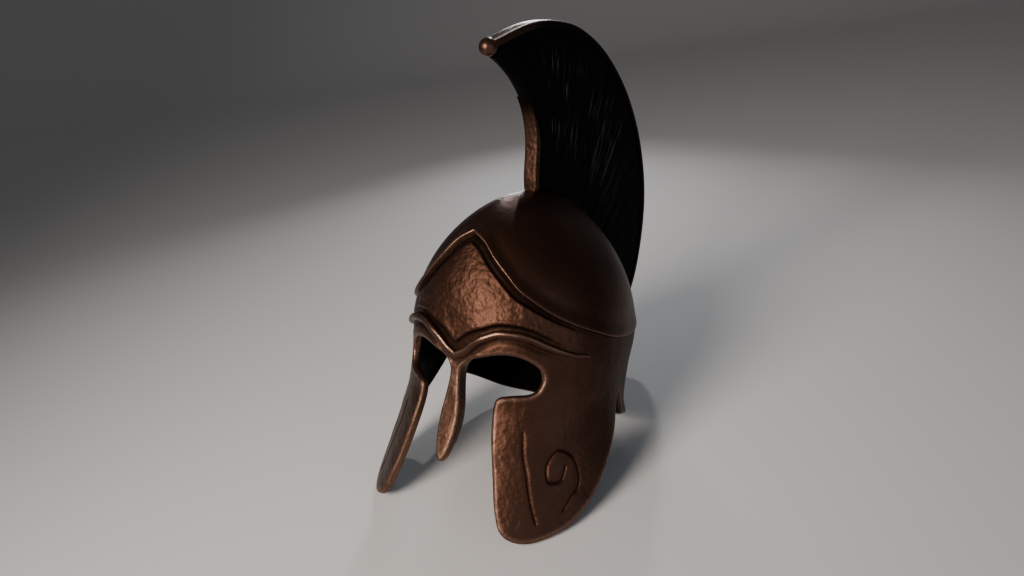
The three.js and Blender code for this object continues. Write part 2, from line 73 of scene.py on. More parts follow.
MOULDING_END = 70  # degrees from the front
CREST_REACH = 236.0  # from the axis to the back of the crest
CREST_TOP = 275.0  # from the temples to the top of the crest
PLUME_THICKNESS = 12.2  # in the grooves between two locks
LOCK_DEPTH = 0.9
LOCK_COUNT = 26
RIM_WIDTH = 15.6
RIM_DEPTH = 6.5
KNOB_RADIUS = 7.7
KNOB_DROP = 6.0  # the knob's centre under the start of the rim
BAND_WIDTH = 15.6
BAND_DEPTH = 5.5
BAND_TOP = 0.6  # share of the front edge that the band covers
LEAN = np.radians(-11.7096)
REST = np.array([0.0, -53.396, 117.832])  # where the helmet's origin is when it rests
LIP_EDGE = 1.2  # radius of the crown's lower edge
CHANNEL_DEPTH = 1.9  # of the channels under the lip and over the moulding
LID_DEPTH = 1.5  # of the channel under the moulding
PANEL_SHOULDER = 0.7
CUT_DEPTH = 1.35
CUT_HALF_WIDTH = 1.1
GUARD_EDGE = 2.3  # radius of the rolled edge, round the eyes and guards
NECK_EDGE = 1.4
PLUME_UNDER_RIM = 3.0  # how far inside the crest's outer edge the hair ends
ROOT_DEPTH = 0.8  # how far under the crown's skin the hair begins
FOCAL_LENGTH = 830 / 1024  # as a share of the picture's width
# the camera's way from the helmet's origin: away, left and up in the picture, then straight down
CAMERA_AWAY, CAMERA_LEFT, CAMERA_UP, CAMERA_DROP = 770.28, 7.043, 47.48, 10.0
LAMP_AWAY = 1.4  # metres from the helmet's middle

# %% [markdown]
# ## Tables
#
# Each table holds the rows of one curve. Heights above the temples are shares of CROWN_HEIGHT, depths
# below them shares of FACE_DEPTH, and angles are degrees from the front.

# %% Tables
# down, half width at the cheeks, half width at the neck, front, back
SECTIONS = [
    (-0.25, 1.0, 1.0, 1.0, 1.0),
    (0.0, 1.0, 1.0, 1.0, 1.0),
    (0.25, 1.006, 0.963, 1.063, 0.906),
    (0.5, 1.079, 0.949, 1.193, 0.809),
    (0.75, 1.188, 0.958, 1.345, 0.71),
    (1.0, 1.274, 0.991, 1.548, 0.606),
    (1.1, 1.294, 1.01, 1.66, 0.563),
]
DOME_POWER = {"side": 1.57, "front": 0.754, "back": 0.729}
# angle, height of the crown's lower edge
LIP = [
    (0, 0.787),
    (10, 0.732),
    (20, 0.622),
    (28, 0.528),
    (34, 0.449),
    (41, 0.386),
    (50, 0.307),
    (60, 0.236),
    (71, 0.173),
    (90, 0.079),
    (115, 0.028),
    (180, 0.0),
]
# angle, depth of the hem: the cheek guard's rear edge, then the neck rim
HEM = [
    (45, 0.982),
    (52, 0.947),
    (58.4, 0.891),
    (64.8, 0.813),
    (70.7, 0.732),
    (77.2, 0.63),
    (82.5, 0.545),
    (86.5, 0.482),
    (90, 0.415),
    (94, 0.35),
    (97.5, 0.318),
    (100.5, 0.335),
    (103, 0.41),
    (105.5, 0.47),
    (109, 0.505),
    (115, 0.54),
    (124, 0.595),
    (135, 0.655),
    (145, 0.685),
    (160, 0.708),
    (180, 0.715),
]
# angle, depth round the eye, down the guard's front edge and round its foot
OPENING = [
    (3.4, 0.071),
    (5.3, 0.044),
    (10.1, 0.005),
    (16.7, -0.02),
    (24.9, -0.039),
    (32.7, -0.034),
    (39.5, -0.001),
    (44.3, 0.042),
    (45.9, 0.09),
    (45.6, 0.127),
    (43.2, 0.173),
    (39.4, 0.195),
    (33, 0.2),
    (26, 0.209),
    (23.4, 0.224),
    (22.3, 0.25),
    (21.8, 0.34),
    (22.3, 0.47),
    (23.8, 0.643),
    (24.8, 0.768),
    (25.8, 0.85),
    (27.2, 0.922),
    (29.6, 0.965),
    (33.4, 0.993),
    (38.5, 1.0),
    (45, 0.982),
]
# depth, half width of the nasal as a share of NASAL_HALF_WIDTH, from its root to its tip
NASAL = [
    (0.1, 0.52),
    (0.15, 0.57),
    (0.215, 0.72),
    (0.3, 0.92),
    (0.38, 1.0),
    (0.46, 0.94),
    (0.551, 0.68),
    (0.596, 0.42),
    (0.612, 0.25),
    (0.622, 0.0),
]
# angle, height of the brow moulding's upper edge: over the eyes up to 2 mm higher than in the frame
MOULDING = [
    (0, 0.034),
    (4.4, 0.064),
    (10, 0.127),
    (16.6, 0.178),
    (25, 0.21),
    (33, 0.203),
    (40.5, 0.176),
    (48, 0.128),
    (54, 0.089),
    (62, 0.043),
    (70, 0.017),
]
# root y, root z, tip y, tip z of the crest's strands: shares of BACK_REACH, CROWN_HEIGHT, CREST_REACH
# and CREST_TOP
STRANDS = [
    (0.12, 0.88, -0.195, 0.928),
    (0.25, 0.88, 0.03, 0.986),
    (0.4, 0.85, 0.22, 1.0),
    (0.54, 0.78, 0.4, 0.98),
    (0.67, 0.64, 0.6, 0.905),
    (0.77, 0.45, 0.79, 0.77),
    (0.83, 0.24, 0.93, 0.59),
    (0.85, 0.05, 1.0, 0.385),
    (0.84, -0.08, 0.985, 0.185),
    (0.82, -0.18, 0.905, 0.0),
    (0.79, -0.27, 0.75, -0.135),
    (0.77, -0.31, 0.6, -0.17),
    (0.74, -0.34, 0.45, -0.18),
]
# y, z of the crest's front edge, from the crown up to the hook: shares of CREST_REACH and CREST_TOP
FRONT_EDGE = [
    (0.071, 0.4),
    (0.064, 0.47),
    (0.063, 0.52),
    (0.071, 0.59),
    (0.067, 0.65),
    (0.046, 0.712),
    (0.015, 0.76),
    (-0.025, 0.794),
    (-0.075, 0.827),
    (-0.135, 0.859),
    (-0.196, 0.882),
]
# angle, depth of the ornament cut into each cheek guard: a long line and a spiral
CUT_LINE = [(36, 0.41), (36.1, 0.527), (37.3, 0.635), (38.1, 0.737), (39.1, 0.822), (40.4, 0.899)]
CUT_SPIRAL = [
    (51, 0.853),
    (54.9, 0.785),
    (58.1, 0.744),
    (59.5, 0.685),
    (58.9, 0.61),
    (57.3, 0.56),
    (54.1, 0.529),
    (50.9, 0.523),
    (47.5, 0.563),
    (45.6, 0.615),
    (45.9, 0.682),
    (48.8, 0.694),
    (51.4, 0.683),
    (53.1, 0.645),
    (53.9, 0.615),
]
print("tables:", len(OPENING), "rows round the eye and guard,", len(STRANDS), "strands")

# %% [markdown]
# ## Curves
#
# `through` draws a cubic through a table, level where the values turn. `spline` draws the smooth path
# through points of the plane.


# %% Curves
def smoothstep(x, low, high):
    """t^2 (3 - 2t) with t = (x - low) / (high - low), held between 0 and 1."""
    t = np.clip((np.asarray(x, float) - low) / (high - low), 0, 1)
    return t * t * (3 - 2 * t)


def through(rows, column=1):
    """Cubic curve of a column over the first: each slope is the harmonic mean of the rises beside it."""
    table = np.array(rows, float)
    x, v = table[:, 0], table[:, column]
    rise = np.diff(v) / np.diff(x)
    before, after = rise[:-1], rise[1:]
    same = before * after > 0
    total = np.where(same, before + after, 1)
    slope = np.r_[rise[0], np.where(same, 2 * before * after / total, 0), rise[-1]]

    def at(q):
        i = np.clip(np.searchsorted(x, q, "right") - 1, 0, len(x) - 2)
        step = x[i + 1] - x[i]
        t = np.clip((q - x[i]) / step, 0, 1)
        start = v[i] * (2 * t**3 - 3 * t**2 + 1) + step * slope[i] * (t**3 - 2 * t**2 + t)
        end = v[i + 1] * (3 * t**2 - 2 * t**3) + step * slope[i + 1] * (t**3 - t**2)
        return start + end

    return at


def spline(points):
    """Smooth path p(t), t from 0 to 1, through points: each tangent is half the step across its point."""
    p = np.array(points, float)
    last = len(p) - 1

    def at(t):
        place = np.clip(np.asarray(t, float), 0, 1) * last
        i = np.minimum(place.astype(int), last - 1)
        w = (place - i)[..., None]
        a, b, c, d = p[np.maximum(i - 1, 0)], p[i], p[i + 1], p[np.minimum(i + 2, last)]
        u, v = (c - a) / 2, (d - b) / 2
        return (2 * b - 2 * c + u + v) * w**3 + (-3 * b + 3 * c - 2 * u - v) * w**2 + u * w + b

    return at


def unit(v):
    """v / |v| along the last axis."""
    return v / np.maximum(np.linalg.norm(v, axis=-1, keepdims=True), 1e-12)


def nearest(points, curve, chunk=3000):
    """Distance from each point to the nearest point of a curve, worked out in blocks."""
    blocks = [points[i : i + chunk] for i in range(0, len(points), chunk)]
    return np.concatenate([np.sqrt(((b[:, None] - curve[None]) ** 2).sum(-1).min(1)) for b in blocks])


cheek_share, neck_share, front_share, back_share = (through(SECTIONS, k) for k in (1, 2, 3, 4))
lip_share, hem_share, moulding_share = through(LIP), through(HEM), through(MOULDING)
nasal_share = through(NASAL)
print("lip peak", round(CROWN_HEIGHT * float(lip_share(0.0)), 1), "mm above the temples")

# %% [markdown]
# ## The head form
#
# Every level section is an ellipse. Above the temples its reaches shrink as a power of cos h, where
# sin h = z / CROWN_HEIGHT. Below them they follow the table.


# %% The head form
def reaches(theta, z):
    """Half width a, and reach b to the front or the back, of the level section at z."""
    rise = np.sqrt(np.clip(1 - (np.maximum(z, 0) / CROWN_HEIGHT) ** 2, 1e-9, 1))
    down = np.maximum(-z, 0) / FACE_DEPTH
    behind = smoothstep(np.abs(theta), 80, 112)
    side = HALF_WIDTH * rise ** DOME_POWER["side"]
    side = side * (cheek_share(down) * (1 - behind) + neck_share(down) * behind)
    front = FRONT_REACH * rise ** DOME_POWER["front"] * front_share(down)
    back = BACK_REACH * rise ** DOME_POWER["back"] * back_share(down)
    return side, np.where(np.abs(theta) < 90, front, back)


def head(theta, z, out=0.0):
    """Point at theta and z, moved out along the normal.

    On the ellipse x = r sin and y = -r cos of theta, with r = 1 / hypot(sin / a, cos / b)."""
    theta, z, out = np.broadcast_arrays(*(np.asarray(v, float) for v in (theta, z, out)))
    sin, cos = np.sin(np.radians(theta)), np.cos(np.radians(theta))
    a, b = reaches(theta, z)
    r = 1 / np.hypot(sin / a, cos / b)
    x, y = r * sin, -r * cos
    step = 0.01
    a2, b2 = reaches(theta, z - step)
    rise = (x * x * (a2 - a) / a**3 + y * y * (b2 - b) / b**3) / step
    normal = unit(np.stack([x / a**2, y / b**2, rise], -1))
    return np.stack([x, y, z], -1) + normal * out[..., None]


def lip_height(theta):
    """Height of the crown's lower edge."""
    return CROWN_HEIGHT * lip_share(np.abs(theta))


def hem_height(theta):
    """Height of the hem."""
    return -FACE_DEPTH * hem_share(np.abs(theta))


def neck_relief(theta, z):
    """The neck guard's rim turns out: flare * exp(-((z - hem) / roll)^2) behind the cheek guards."""
    turn = np.exp(-(((z - hem_height(theta)) / NECK_ROLL) ** 2))
    return NECK_FLARE * smoothstep(np.abs(theta), 96, 120) * turn


def thickness(theta, z):
    """Wall thickness: thin at neck and crown, thick at brow and guards, thickest on the nasal."""
    side = np.abs(theta)
    face = (1 - smoothstep(side, 90, 104)) * (1 - smoothstep(z, 10, 45))
    nose = (1 - smoothstep(side, 7.5, 13)) * (1 - smoothstep(z, -12, 6))
    nasal = NASAL_TIP_WALL + (NASAL_WALL - NASAL_TIP_WALL) * smoothstep(z, -88, -50)
    return WALL + (GUARD_WALL - WALL) * face + (nasal - GUARD_WALL) * nose


print("brow at", head(0, 0).round(1), "nape at", head(180, 0).round(1))

# %% [markdown]
# ## Meshes
#
# A piece is built from rows of point indices. `strip` joins two rows, `mirror` adds the other half, and
# `piece` puts the result on the floor and hands it to the frame.


# %% Meshes
def to_row(points):
    """Leans points back on to the floor and turns millimetres into metres."""
    x, y, z = np.moveaxis(points, -1, 0)
    cos, sin = np.cos(LEAN), np.sin(LEAN)
    return (np.stack([x, y * cos - z * sin, y * sin + z * cos], -1) + REST) / 1000


def strip(upper, lower):
    """Quads between two rows of indices, facing the reader when upper runs left to right above lower."""
    return np.stack([upper[1:], upper[:-1], lower[:-1], lower[1:]], -1)


def grid(rows, columns, wrap=False):
    """Quads over a block of rows x columns points. wrap joins the last column to the first."""
    index = np.arange(rows * columns).reshape(rows, columns)
    if wrap:
        index = np.concatenate([index, index[:, :1]], 1)
    quads = np.stack([index[:-1, :-1], index[:-1, 1:], index[1:, 1:], index[1:, :-1]], -1)
    return quads.reshape(-1, 4)


def mirror(points, groups, attributes):
    """Adds the half at -x. Points on the middle plane are shared, and copied faces are turned round."""
    off_plane = np.abs(points[:, 0]) > 1e-6
    twin = np.arange(len(points))
    twin[off_plane] = len(points) + np.arange(off_plane.sum())
    both = np.concatenate([points, points[off_plane] * (-1, 1, 1)])
    groups = [np.concatenate([faces, twin[faces][:, ::-1]]) for faces in groups]
    return both, groups, {k: np.concatenate([v, v[off_plane]]) for k, v in attributes.items()}


def piece(name, points, groups, material, replaces, attributes=None, crease=0.7):
    """A smooth-shaded object from points in millimetres and groups of triangles or quads.

    It rides on the frame's root and replaces the named nodes in the looks."""
    groups = [np.asarray(g) for g in groups if len(g)]
    mesh = bpy.data.meshes.new(name)
    mesh.vertices.add(len(points))
    mesh.vertices.foreach_set("co", to_row(points).ravel())
    corners = np.concatenate([g.ravel() for g in groups])
    counts = np.concatenate([np.full(len(g), g.shape[1]) for g in groups])
    mesh.loops.add(len(corners))
    mesh.loops.foreach_set("vertex_index", corners.astype(np.int32))
    mesh.polygons.add(len(counts))
    starts = np.concatenate([[0], np.cumsum(counts)[:-1]])
    mesh.polygons.foreach_set("loop_start", starts.astype(np.int32))
    mesh.update(calc_edges=True)
    mesh.validate()
    mesh.shade_smooth()
    mesh.set_sharp_from_angle(angle=crease)
    for key, values in (attributes or {}).items():
        layer = mesh.attributes.new(key, "FLOAT", "POINT")
        layer.data.foreach_set("value", values.astype(np.float32))
    mesh.materials.append(material)
    obj = bpy.data.objects.new(name, mesh)
    bpy.context.scene.collection.objects.link(obj)
    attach(obj, "root")
    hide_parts(*replaces)
    print(name, len(points), "points", sum(len(g) * (g.shape[1] - 2) for g in groups), "triangles")


def rolled_edge(outer, inner, outward, radius, steps=5):
    """Rows round a free edge from the outer surface to the inner one.

    With n the way from inner to outer and t its length, each row is outer + b outward - d n. Over the
    rounded corner b = radius sin w and d = radius (1 - cos w), and the same from the inner side."""
    across = outer - inner
    t = np.linalg.norm(across, axis=-1, keepdims=True)
    n = across / t
    r = np.minimum(radius, 0.47 * t)
    w = np.linspace(0, np.pi / 2, steps + 1)[1:]
    near = [outer + outward * r * np.sin(k) - n * r * (1 - np.cos(k)) for k in w]
    far = [inner + outward * r * np.sin(k) + n * r * (1 - np.cos(k)) for k in w[::-1]]
    return near + far


# %% [markdown]
# ## Bronze and horsehair
#
# Bronze is a dark reddish brown metal. Its colour and roughness drift over the surface, worn edges are
# brighter, some of them with a painted highlight, and two layers of noise stand for the cast and hammered
# skin. Shade is painted dark into the channels, grooves and cuts, on the inside, on the guards towards
# the rear and on the crest's rim and band away from the front. The attributes for wear and highlight,
# painted shade and cast come from the shapes below, and so does the hair's painted strand highlight.


# %% Materials
def shader_tree(name):
    """A new material with its node tree and its Principled shader."""
    material = bpy.data.materials.new(name)
    material.use_nodes = True
    tree = material.node_tree
    return material, tree, tree.nodes["Principled BSDF"]


def add(tree, kind, settings=None, **inputs):
    """Adds a node. Each input is a number, a colour, or another node's output to link."""
    node = tree.nodes.new(kind)
    for key, value in (settings or {}).items():
        setattr(node, key, value)
    for key, value in inputs.items():
        socket = node.inputs[int(key[1:])] if key[0] == "_" else node.inputs[key.replace("_", " ")]
        if isinstance(value, bpy.types.NodeSocket):
            tree.links.new(value, socket)
        else:
            socket.default_value = value
    return node


def maths(tree, operation, first, second):
    """A maths node's output."""
    return add(tree, "ShaderNodeMath", {"operation": operation}, _0=first, _1=second).outputs[0]


def mix_colour(tree, factor, first, second):
    """A colour mix's output."""
    node = add(tree, "ShaderNodeMix", {"data_type": "RGBA"}, _0=factor, _6=first, _7=second)
    return node.outputs[2]


def between(tree, value, low, high, to_low, to_high):
    """A value carried from one range into another, held at the ends."""
    node = add(tree, "ShaderNodeMapRange", _0=value, _1=low, _2=high, _3=to_low, _4=to_high)
    return node.outputs[0]


def noise(tree, place, scale, detail, roughness):
    """Noise in the object's own metres: scale 100 makes lumps of about 10 mm."""
    settings = {"Vector": place, "Scale": scale, "Detail": detail, "Roughness": roughness}
    return add(tree, "ShaderNodeTexNoise", **settings).outputs[0]


def attribute(tree, name):
    """A point attribute's value."""
    return add(tree, "ShaderNodeAttribute", {"attribute_name": name}).outputs["Fac"]


def bronze(name, dark, brown, worn, rough):
    """Bronze from three colours and a middle roughness. The painted shade is a tenth of the dark colour.
    """
    material, tree, shader = shader_tree(name)
    place = add(tree, "ShaderNodeTexCoord").outputs["Object"]
    wear_and_highlight, painted_shade, cast = (attribute(tree, key) for key in ("wear_and_highlight", "painted_shade", "cast"))
    blotch = noise(tree, place, 28, 4.0, 0.6)
    grain = noise(tree, place, 420, 3.0, 0.6)
    colour = mix_colour(tree, between(tree, blotch, 0.3, 0.7, 0.25, 0.75), dark, brown)
    edge = maths(tree, "MULTIPLY", wear_and_highlight, between(tree, grain, 0.3, 0.62, 0.35, 1.0))
    colour = mix_colour(tree, edge, colour, worn)
    # painted shade: a tenth of the dark colour, mixed in wherever shade is painted
    shade_paint = tuple(0.1 * c for c in dark[:3]) + (1,)
    colour = mix_colour(tree, painted_shade, colour, shade_paint)
    tree.links.new(colour, shader.inputs["Base Color"])
    shader.inputs["Metallic"].default_value = 0.95
    haze = between(tree, blotch, 0.3, 0.7, rough + 0.03, rough - 0.03)
    haze = maths(tree, "ADD", haze, maths(tree, "MULTIPLY", painted_shade, 0.2))
    haze = maths(tree, "ADD", haze, maths(tree, "MULTIPLY", cast, 0.08))
    haze = maths(tree, "SUBTRACT", haze, maths(tree, "MULTIPLY", edge, 0.08))
    tree.links.new(haze, shader.inputs["Roughness"])
    lumps = maths(tree, "MULTIPLY", noise(tree, place, 70, 2.0, 0.5), 0.0018)
    dints = maths(tree, "MULTIPLY", noise(tree, place, 210, 1.5, 0.4), 0.0009)
    heavy = maths(tree, "MULTIPLY", maths(tree, "ADD", lumps, dints), maths(tree, "ADD", cast, 0.06))
    fine = maths(tree, "MULTIPLY", grain, 0.00006)
    height = maths(tree, "ADD", heavy, fine)
    bump = add(tree, "ShaderNodeBump", Height=height, Distance=1.0, Strength=1.0)
    tree.links.new(bump.outputs[0], shader.inputs["Normal"])
    return material


def horsehair(name):
    """Near black, with a painted highlight on single strands."""
    material, tree, shader = shader_tree(name)
    light = attribute(tree, "strand")
    colour = mix_colour(tree, light, (0.0012, 0.0011, 0.0011, 1), (0.08, 0.077, 0.074, 1))
    tree.links.new(colour, shader.inputs["Base Color"])
    shader.inputs["Roughness"].default_value = 0.7
    shader.inputs["Specular IOR Level"].default_value = 0.06
    return material


BRONZE = bronze(
    "bronze",
    dark=(0.034, 0.0145, 0.009, 1),
    brown=(0.098, 0.045, 0.028, 1),
    worn=(0.36, 0.21, 0.145, 1),
    rough=0.42,
)
BRIGHT = bronze(
    "bright bronze",
    dark=(0.034, 0.0155, 0.0095, 1),
    brown=(0.098, 0.046, 0.029, 1),
    worn=(0.4, 0.24, 0.17, 1),
    rough=0.38,
)
HAIR = horsehair("horsehair")
print("materials", [m.name for m in (BRONZE, BRIGHT, HAIR)])

# %% [markdown]
# ## Crown
#
# Rows climb from the lip to the top by steps of the height angle that grow upwards, and the same rows run
# back down inside. The lip stands proud and its edge is rounded. At the brow that edge is brightened, as
# wear and as a painted highlight, and the brightening fades out towards the sides.

# %% Crown
half = np.linspace(0, 180, 181)
climb = np.linspace(0, 1, 76) ** 1.25
start = np.arcsin((lip_height(half) + LIP_EDGE) / CROWN_HEIGHT)
level = start + (np.pi / 2 - start) * climb[:, None]
z = CROWN_HEIGHT * np.sin(np.minimum(level, np.pi / 2 - 2e-3))
behind = LIP_BEHIND + (1 - LIP_BEHIND) * (1 - smoothstep(half, 80, 130))
over_lip = z - lip_height(half)
swell = LIP_PROUD * behind * np.exp(-((over_lip / LIP_ROLL) ** 2))
swell *= (1 - smoothstep(climb, 0.5, 0.9))[:, None]
outer, inner = head(half, z, swell), head(half, z, -WALL)
below = head(half, lip_height(half) + LIP_EDGE - 0.5, swell[0])
edge = rolled_edge(outer[0], inner[0], unit(below - outer[0]), LIP_EDGE)
rows = np.concatenate([outer[::-1], np.array(edge), inner])
rows[0] = rows[0].mean(0)
rows[-1] = rows[-1].mean(0)
rows[:, [0, -1], 0] = 0
points = rows.reshape(-1, 3)
unworn = np.full_like(over_lip, 40)
from_lip = np.concatenate([over_lip[::-1], np.zeros((len(edge), len(half))), unworn])
# wear along the lip's edge, with a painted highlight, fading out towards the sides
wear_and_highlight = (0.8 * np.exp(-((from_lip / 1.4) ** 2)) * (1 - 0.85 * smoothstep(half, 12, 40))).ravel()
looks = {"wear_and_highlight": wear_and_highlight, "painted_shade": 0 * wear_and_highlight, "cast": 0.12 + 0 * wear_and_highlight}
quads = grid(len(rows), len(half))[:, ::-1]
points, (quads,), looks = mirror(points, [quads], looks)
piece("crown_fine", points, [quads], BRONZE, ["crown"], looks)

# %% [markdown]
# ## The free edge of the face
#
# One line runs from the nasal's tip up its side, round the eye, down the cheek guard's front edge, round
# its foot, up its rear edge and along the neck rim to the nape. Steps along it are even on the surface.


# %% The free edge
def even(path, spacing):
    """Even steps along a path of (theta, z), measured on the head form."""
    steps = np.linalg.norm(np.diff(head(path[:, 0], path[:, 1]), axis=0), axis=1)
    length = np.r_[0, np.cumsum(steps)]
    at = np.linspace(0, length[-1], max(int(round(length[-1] / spacing)), 2) + 1)
    return np.stack([np.interp(at, length, path[:, k]) for k in (0, 1)], 1)


def eased(path, rounds):
    """Each point p moves to (before + 2 p + after) / 4, as many times as there are rounds.

    Past both ends the path goes on as its mirror image, as the other half of the helmet does."""
    before = path[rounds:0:-1] * (-1, 1)
    after = path[-2 : -2 - rounds : -1] * (-1, 1) + (360, 0)
    path = np.concatenate([before, path, after])
    for _ in range(rounds):
        path = (path[:-2] + 2 * path[1:-1] + path[2:]) / 4
    return path


def frame_of(path):
    """Point, normal and inward direction (to the left of the path, in the surface) along a path."""
    base = head(path[:, 0], path[:, 1])
    normal = unit(head(path[:, 0], path[:, 1], 1.0) - base)
    along = np.gradient(base, axis=0)
    along[[0, -1]] = np.abs(along[[0, -1]]) * (1, 0, 0)
    return base, normal, unit(np.cross(normal, unit(along)))


def moved(path, distance):
    """The path moved inward by a distance on the surface: the move is solved in theta and z."""
    base, _, inward = frame_of(path)
    small = 0.01
    by_theta = (head(path[:, 0] + small, path[:, 1]) - base) / small
    by_z = (head(path[:, 0], path[:, 1] + small) - base) / small
    move = inward * distance[:, None]
    g11, g12, g22 = (by_theta**2).sum(1), (by_theta * by_z).sum(1), (by_z**2).sum(1)
    p, q = (move * by_theta).sum(1), (move * by_z).sum(1)
    det = g11 * g22 - g12**2
    return path + np.stack([(g22 * p - g12 * q) / det, (g11 * q - g12 * p) / det], 1)


rise = np.linspace(0, 1, 60) ** 1.6
depth = NASAL[-1][0] + (NASAL[0][0] - NASAL[-1][0]) * rise
z = -FACE_DEPTH * depth
nasal_angle = np.degrees(np.arcsin(NASAL_HALF_WIDTH * nasal_share(depth) / reaches(0 * z, z)[1]))
nasal = np.stack([nasal_angle, z], 1)
ring = spline(OPENING)(np.linspace(0, 1, 400)) * (1, -FACE_DEPTH)
behind = np.linspace(45.3, 180, 400)
hem = np.stack([behind, hem_height(behind)], 1)
edge = even(np.concatenate([nasal, ring, hem]), 0.6)
edge = even(eased(edge, 20), 1.15)
edge[[0, -1], 0] = 0, 180
print("free edge:", len(edge), "steps")

# %% [markdown]
# ## Relief of the face
#
# A channel runs under the lip and another over the moulding, so the brow panel stands up between them
# with a rounded shoulder. A third channel under the moulding sets off the lid of the eye. The ornament
# is cut as a narrow groove. A groove at distance d from its line is exp(-(d / width)^2) deep.


# %% Relief
span = np.linspace(0, 180, 721)
lip_line = head(span, lip_height(span))
arch = np.linspace(-MOULDING_END, MOULDING_END, 481)
arch_line = head(arch, CROWN_HEIGHT * moulding_share(np.abs(arch)))
cuts = [
    spline(rows)(np.linspace(0, 1, count)) * (1, -FACE_DEPTH)
    for rows, count in ((CUT_LINE, 90), (CUT_SPIRAL, 160))
]
cut_line = np.concatenate([head(c[:, 0], c[:, 1]) for c in cuts])


def relief(theta, z):
    """Height of the face's skin over the head form, how much shade is painted there, and how rough it is.
    """
    base = head(theta, z)
    side = np.abs(theta)
    lip = nearest(base, lip_line)
    width = 5.2 - 3.6 * smoothstep(side, 22, 60)
    channel = (1 - smoothstep(lip, width, width + 3.0)) * (1 - smoothstep(side, 45, 78))
    fillet = 0.5 * np.exp(-(((lip - 0.62 * width) / 0.8) ** 2)) * (1 - smoothstep(side, 20, 40))
    arch_height = CROWN_HEIGHT * moulding_share(np.minimum(side, MOULDING_END))
    arch = nearest(base, arch_line)
    above = z > arch_height
    fade = 1 - smoothstep(side, 36, 66)
    gap = 7.2 - 3.4 * smoothstep(side, 3, 18)
    upper = 1 - smoothstep(arch, gap - 1.6, gap + 1.6)
    lower = 1 - smoothstep(arch, MOULDING_HEIGHT - 2, MOULDING_HEIGHT + 1)
    over = np.where(above, upper, lower) * fade
    shoulder = np.where(above, np.exp(-(((arch - gap - 3.0) / 2.2) ** 2)), 0) * fade
    under = np.where(above, 0, np.exp(-(((arch - MOULDING_HEIGHT - 2) / 2.3) ** 2)))
    under *= fade * (1 - smoothstep(z, 22, 30))
    cut = np.exp(-((nearest(base, cut_line) / CUT_HALF_WIDTH) ** 2)) * (side > 30)
    height = fillet + PANEL_SHOULDER * shoulder - CHANNEL_DEPTH * (channel + over)
    height -= LID_DEPTH * under + CUT_DEPTH * cut
    waves = 0.22 * np.sin(base[:, 0] / 9 + 1.3 * np.sin(base[:, 2] / 13)) * np.sin(base[:, 2] / 8 + 0.7)
    # painted shade: towards the rear of the guards, and in the channels, the grooves and the cut
    rear_shade = 0.45 * smoothstep(side, 56, 84)
    painted_shade = np.clip(0.85 * channel + 0.6 * (over * above + under + cut) + rear_shade, 0, 1)
    panel = above * (1 - smoothstep(side, 50, 75)) * (1 - smoothstep(channel + over, 0.1, 0.6))
    return height + waves * (side < 95), painted_shade, 0.45 + 0.55 * panel


print("relief lines:", len(lip_line), len(arch_line), len(cut_line))

# %% [markdown]
# ## Face shell
#
# Half of the face is one region of the plane of angle and height. Its border is even, its inside is
# filled with a triangular lattice, and both go through a Delaunay triangulation. The border of the outer
# skin joins the border of the inner skin by the rolled edge. That edge and the nasal are worn bright, and
# the inside is painted near black as shade.


# %% Face shell
PER_DEGREE = 1.75  # millimetres of the flat region for each degree
SEAM = 95  # the angle where the fine lattice of the face gives way to the coarse one of the neck
OUTER_SPACING = (1.1, 2.4)  # of the lattice in front of the seam and behind it
INNER_SPACING = (2.6, 4.0)


def lattice(low, high, spacing):
    """Triangular lattice over a rectangle: rows spacing * sqrt(3) / 2 apart, every second one shifted."""
    rows = np.arange(low[1], high[1], spacing * np.sqrt(3) / 2)
    columns = np.arange(low[0], high[0], spacing)
    x, y = np.meshgrid(columns, rows)
    x = x + (np.arange(len(rows)) % 2)[:, None] * spacing / 2
    return np.stack([x.ravel(), y.ravel()], 1)


def within(points, border, chunk=3000):
    """Whether points are inside a closed border: a ray to the right crosses it an odd number of times."""
    a, b = border, np.roll(border, -1, axis=0)
    found = []
    for i in range(0, len(points), chunk):
        x, y = points[i : i + chunk, 0, None], points[i : i + chunk, 1, None]
        spans = (a[:, 1] > y) != (b[:, 1] > y)
        rise = np.where(b[:, 1] == a[:, 1], 1, b[:, 1] - a[:, 1])
        crossing = a[:, 0] + (b[:, 0] - a[:, 0]) * (y - a[:, 1]) / rise
        found.append((spans & (x < crossing)).sum(1) % 2 == 1)
    return np.concatenate(found)


